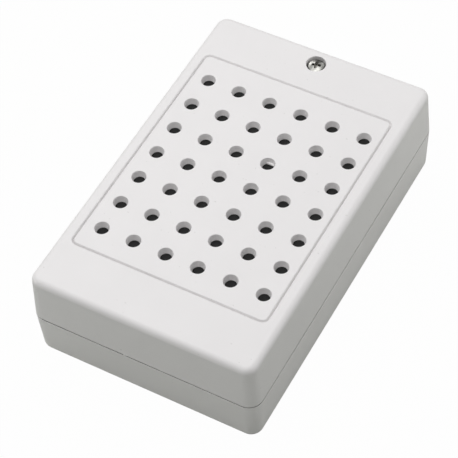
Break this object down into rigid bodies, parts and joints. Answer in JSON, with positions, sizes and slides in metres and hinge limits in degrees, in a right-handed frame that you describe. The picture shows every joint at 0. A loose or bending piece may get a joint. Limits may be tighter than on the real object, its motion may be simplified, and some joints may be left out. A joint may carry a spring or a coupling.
{
  "type": "intercom repeater speaker",
  "caption": "Small wall box with a grilled cover that swings off two hooks, a sunk cover screw, and a round loudspeaker with its connection board inside.",
  "frame": {"origin": "middle of the base's back face, on the wall", "axes": "+Z out of the wall towards the grille, +Y along the box towards the end with the cover screw, +X across it"},
  "size_m": [0.0738, 0.1166, 0.033],
  "materials": {
    "shell": "pale warm grey moulded plastic, fine satin",
    "cloth": "black acoustic cloth",
    "plated_screw": "bright nickel plate",
    "zinc_steel": "zinc-plated pressed steel",
    "doped_edge": "doped black cloth",
    "cone_paper": "felted dark paper",
    "spider_cloth": "amber impregnated cloth",
    "former_foil": "thin foil",
    "coil_copper": "enamelled copper wire",
    "ferrite": "dull dark ferrite",
    "foam": "open-cell foam",
    "small_fasteners": "yellow-white zinc",
    "phenolic": "brown phenolic board",
    "tinned": "tinned brass",
    "circuit_green": "green solder mask",
    "terminal_green": "moulded terminal block",
    "contact_brass": "plain brass",
    "trimmer_blue": "moulded trimmer body",
    "rotor_white": "moulded rotor",
    "capacitor_sleeve": "shrunk sleeve",
    "resistor_paint": "lacquered body",
    "lead_black": "insulated wire",
    "lead_red": "insulated wire"
  },
  "bodies": {
    "base": {"rear_base": "shell", "speaker_basket": "zinc_steel", "cone_surround": "doped_edge", "spider": "spider_cloth", "top_plate": "zinc_steel", "magnet": "ferrite", "yoke": "zinc_steel", "speaker_gasket": "foam", "speaker_clamps": "small_fasteners", "speaker_screws": "small_fasteners", "tag_board": "phenolic", "solder_tags": "tinned", "tinsel_leads": "coil_copper", "circuit_board": "circuit_green", "board_screws": "small_fasteners", "terminal_housing": "terminal_green", "terminal_contacts": "contact_brass", "trimmer_body": "trimmer_blue", "coupling_capacitor": "capacitor_sleeve", "series_resistor": "resistor_paint", "lead_black": "lead_black", "lead_red": "lead_red"},
    "cover": {"front_cover": "shell", "acoustic_cloth": "cloth"},
    "cover_screw": {"cover_screw": "plated_screw"},
    "diaphragm": {"speaker_cone": "cone_paper", "dust_cap": "cone_paper", "coil_former": "former_foil", "voice_coil": "coil_copper"},
    "trimmer_rotor": {"trimmer_rotor": "rotor_white"},
    "terminal_screw_1": {"terminal_screw_1": "small_fasteners"},
    "terminal_screw_2": {"terminal_screw_2": "small_fasteners"},
    "terminal_cage_1": {"terminal_cage_1": "contact_brass"},
    "terminal_cage_2": {"terminal_cage_2": "contact_brass"}
  },
  "joints": [
    {"name": "cover_swing", "type": "hinge", "parent": "base", "child": "cover", "pos_m": [0, -0.05795, 0.0164], "axis": [1, 0, 0], "range_deg": [0, 35]},
    {"name": "cover_screw_turn", "type": "hinge", "parent": "cover", "child": "cover_screw", "pos_m": [0, 0.0513, 0.0295], "axis": [0, 0, 1], "continuous": true},
    {"name": "diaphragm_travel", "type": "slide", "parent": "base", "child": "diaphragm", "axis": [0, 0, 1], "range_m": [-0.0005, 0.0005], "stiffness_N_per_m": 400, "deforming": ["cone_surround", "spider", "tinsel_leads"]},
    {"name": "trimmer_turn", "type": "hinge", "parent": "base", "child": "trimmer_rotor", "pos_m": [0.004, -0.0466, 0.0107], "axis": [0, 0, 1], "range_deg": [-135, 135]},
    {"name": "terminal_screw_1_turn", "type": "hinge", "parent": "base", "child": "terminal_screw_1", "pos_m": [-0.01154, -0.0368, 0.0163], "axis": [0, 0, 1], "range_deg": [-1080, 0]},
    {"name": "terminal_cage_1_lift", "type": "slide", "parent": "base", "child": "terminal_cage_1", "axis": [0, 0, 1], "range_m": [0, 0.0015]},
    {"name": "terminal_screw_2_turn", "type": "hinge", "parent": "base", "child": "terminal_screw_2", "pos_m": [-0.00646, -0.0368, 0.0163], "axis": [0, 0, 1], "range_deg": [-1080, 0]},
    {"name": "terminal_cage_2_lift", "type": "slide", "parent": "base", "child": "terminal_cage_2", "axis": [0, 0, 1], "range_m": [0, 0.0015]}
  ],
  "couplings": [
    {"joint": "terminal_screw_1_turn", "follows": "terminal_cage_1_lift", "rad_per_m": -12566},
    {"joint": "terminal_screw_2_turn", "follows": "terminal_cage_2_lift", "rad_per_m": -12566}
  ]
}
